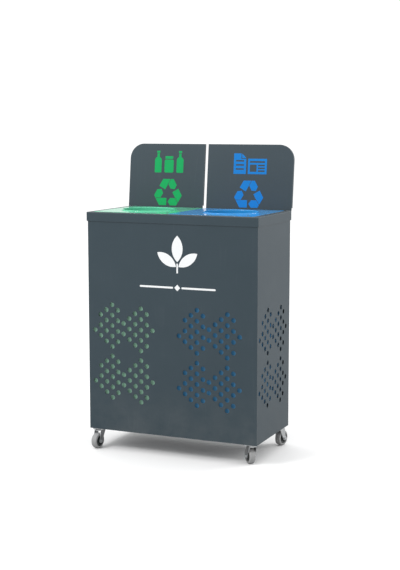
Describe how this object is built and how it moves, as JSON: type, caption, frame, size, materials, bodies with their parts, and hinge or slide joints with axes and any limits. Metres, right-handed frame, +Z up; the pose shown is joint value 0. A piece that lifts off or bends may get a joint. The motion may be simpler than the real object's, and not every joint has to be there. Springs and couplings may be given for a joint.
{
  "type": "recycling bin station",
  "caption": "Floor-standing sheet-steel recycling station with two sorted compartments, round waste openings, rear signs, a rear-hinged cap and swivel casters.",
  "frame": {"origin": "on the floor, below the middle of the cabinet", "axes": "+X to the right, -Y is the front, +Z up"},
  "size_m": [0.7, 0.4103, 1.1751],
  "materials": {
    "grey_powder_coat": "satin fine-textured powder coat, anthracite grey",
    "green_inlay_paint": "gloss green enamel",
    "blue_inlay_paint": "gloss blue enamel",
    "green_liner_paint": "satin green powder coat",
    "blue_liner_paint": "satin blue powder coat",
    "green_film": "printed green self-adhesive film",
    "blue_film": "printed blue self-adhesive film",
    "white_film": "printed white self-adhesive film",
    "zinc_plating": "bright zinc plating",
    "wheel_hub": "dark grey moulded polypropylene",
    "tyre_rubber": "grey non-marking rubber",
    "cushion_rubber": "black foam rubber strip"
  },
  "bodies": {
    "root": {"front_panel": "grey_powder_coat", "left_panel": "grey_powder_coat", "right_panel": "grey_powder_coat", "back_panel": "grey_powder_coat", "base_pan": "grey_powder_coat", "corner_angles": "grey_powder_coat", "divider": "grey_powder_coat", "support_rails": "zinc_plating", "edge_cushions": "cushion_rubber", "green_liner": "green_liner_paint", "blue_liner": "blue_liner_paint", "front_emblem": "white_film", "fixed_hinge_leaves": "zinc_plating", "hinge_pins": "zinc_plating", "hinge_packers": "grey_powder_coat", "hinge_screws": "zinc_plating", "backing_plates": "zinc_plating", "caster_bolts": "zinc_plating", "caster_nuts": "zinc_plating", "swivel_pins": "zinc_plating", "ball_rings": "zinc_plating", "front_left_plate": "zinc_plating", "front_right_plate": "zinc_plating", "rear_left_plate": "zinc_plating", "rear_right_plate": "zinc_plating"},
    "cap": {"cap": "grey_powder_coat", "cap_rims": "grey_powder_coat", "green_inlay": "green_inlay_paint", "blue_inlay": "blue_inlay_paint", "green_collar": "green_inlay_paint", "blue_collar": "blue_inlay_paint", "left_sign": "grey_powder_coat", "right_sign": "grey_powder_coat", "sign_rivets": "zinc_plating", "green_loop": "green_film", "blue_loop": "blue_film", "glass_pictogram": "green_film", "paper_pictogram": "blue_film", "moving_hinge_leaves": "zinc_plating", "hinge_rivets": "zinc_plating"},
    "front_left_swivel": {"front_left_fork": "zinc_plating", "front_left_axle": "zinc_plating"},
    "front_left_wheel": {"front_left_hub": "wheel_hub", "front_left_tyre": "tyre_rubber"},
    "front_right_swivel": {"front_right_fork": "zinc_plating", "front_right_axle": "zinc_plating"},
    "front_right_wheel": {"front_right_hub": "wheel_hub", "front_right_tyre": "tyre_rubber"},
    "rear_left_swivel": {"rear_left_fork": "zinc_plating", "rear_left_axle": "zinc_plating"},
    "rear_left_wheel": {"rear_left_hub": "wheel_hub", "rear_left_tyre": "tyre_rubber"},
    "rear_right_swivel": {"rear_right_fork": "zinc_plating", "rear_right_axle": "zinc_plating"},
    "rear_right_wheel": {"rear_right_hub": "wheel_hub", "rear_right_tyre": "tyre_rubber"}
  },
  "joints": [
    {"name": "cap_hinge", "type": "hinge", "parent": "root", "child": "cap", "pos_m": [0, 0.182, 0.8985], "axis": [-1, 0, 0], "range_deg": [0, 95]},
    {"name": "front_left_swivel_turn", "type": "hinge", "parent": "root", "child": "front_left_swivel", "pos_m": [-0.318, -0.146, 0.07], "axis": [0, 0, 1], "continuous": true},
    {"name": "front_left_wheel_roll", "type": "hinge", "parent": "front_left_swivel", "child": "front_left_wheel", "pos_m": [-0.31988, -0.1639, 0.03], "axis": [0.9945, -0.1045, 0], "continuous": true},
    {"name": "front_right_swivel_turn", "type": "hinge", "parent": "root", "child": "front_right_swivel", "pos_m": [0.318, -0.146, 0.07], "axis": [0, 0, 1], "continuous": true},
    {"name": "front_right_wheel_roll", "type": "hinge", "parent": "front_right_swivel", "child": "front_right_wheel", "pos_m": [0.30572, -0.13284, 0.03], "axis": [-0.7314, -0.682, 0], "continuous": true},
    {"name": "rear_left_swivel_turn", "type": "hinge", "parent": "root", "child": "rear_left_swivel", "pos_m": [-0.318, 0.146, 0.07], "axis": [0, 0, 1], "continuous": true},
    {"name": "rear_left_wheel_roll", "type": "hinge", "parent": "rear_left_swivel", "child": "rear_left_wheel", "pos_m": [-0.31126, 0.16269, 0.03], "axis": [-0.9272, 0.3746, 0], "continuous": true},
    {"name": "rear_right_swivel_turn", "type": "hinge", "parent": "root", "child": "rear_right_swivel", "pos_m": [0.318, 0.146, 0.07], "axis": [0, 0, 1], "continuous": true},
    {"name": "rear_right_wheel_roll", "type": "hinge", "parent": "rear_right_swivel", "child": "rear_right_wheel", "pos_m": [0.32205, 0.16354, 0.03], "axis": [-0.9744, 0.225, 0], "continuous": true}
  ]
}
